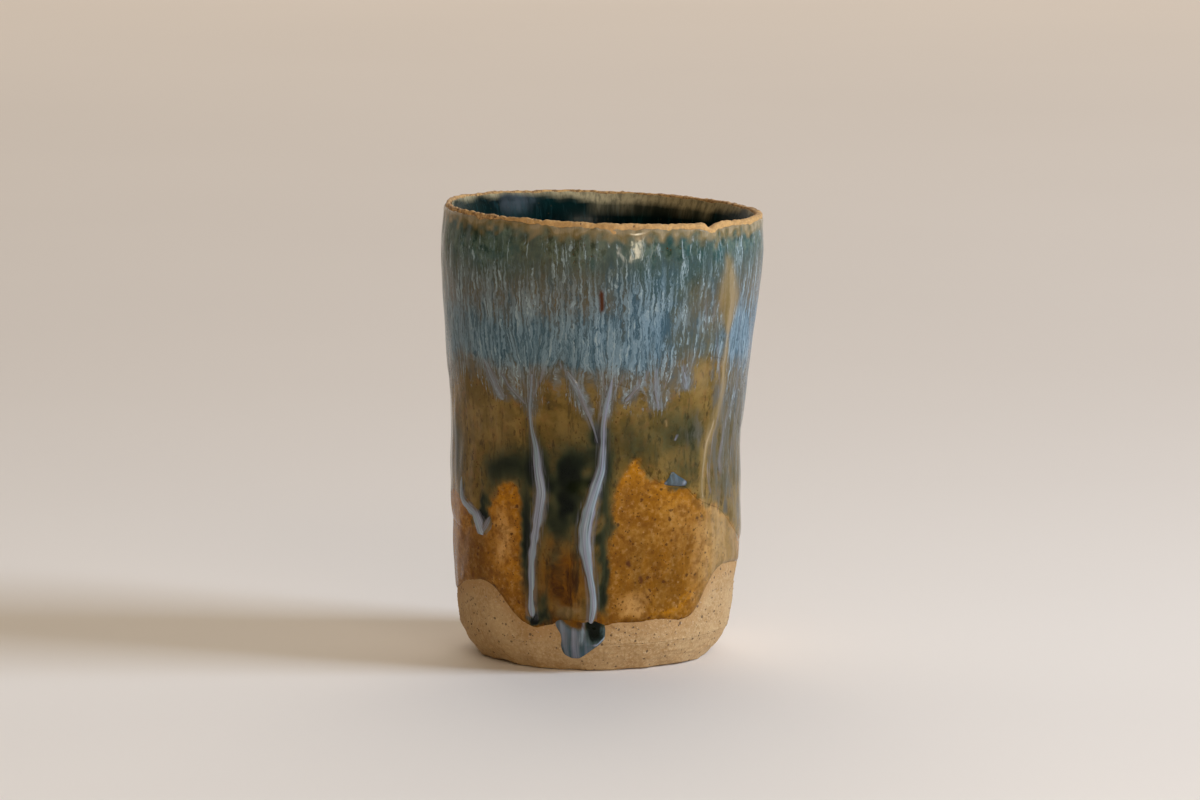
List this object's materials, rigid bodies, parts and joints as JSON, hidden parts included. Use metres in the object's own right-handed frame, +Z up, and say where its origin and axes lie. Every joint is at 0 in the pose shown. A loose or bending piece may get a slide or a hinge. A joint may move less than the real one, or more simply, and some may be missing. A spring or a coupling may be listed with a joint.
{
  "type": "tea cup",
  "caption": "Hand-built stoneware tea cup without a handle, with a lapped wall slab on a bevelled floor slab and layered glaze that runs down its front.",
  "frame": {"origin": "on the table under the middle of the foot, in the plane of the flat underside", "axes": "+Z up along the cup's height, -Y out of the front with the long glaze runs, +X to the right as seen from the front"},
  "size_m": [0.0695, 0.0695, 0.0973],
  "materials": {
    "clay": "bare speckled stoneware, matt",
    "amber_glaze": "thin speckled amber glaze, satin",
    "olive_glaze": "thick olive-brown glaze, glossy",
    "blue_glaze": "streaked blue-grey glaze, glossy",
    "liner_glaze": "dark teal glaze, glossy",
    "run_glaze": "pale blue-grey glaze, glossy",
    "drop_glaze": "dark teal glaze, glossy"
  },
  "bodies": {
    "root": {"wall_slab": "clay", "floor_slab": "clay", "corner_coil": "clay", "amber_coat": "amber_glaze", "olive_coat": "olive_glaze", "blue_coat": "blue_glaze", "liner_coat": "liner_glaze", "run_middle": "run_glaze", "run_right": "run_glaze", "run_branch": "run_glaze", "drip_left": "run_glaze", "foot_drop": "drop_glaze", "fringe_fingers": "run_glaze", "edge_curl": "run_glaze"}
  },
  "joints": []
}
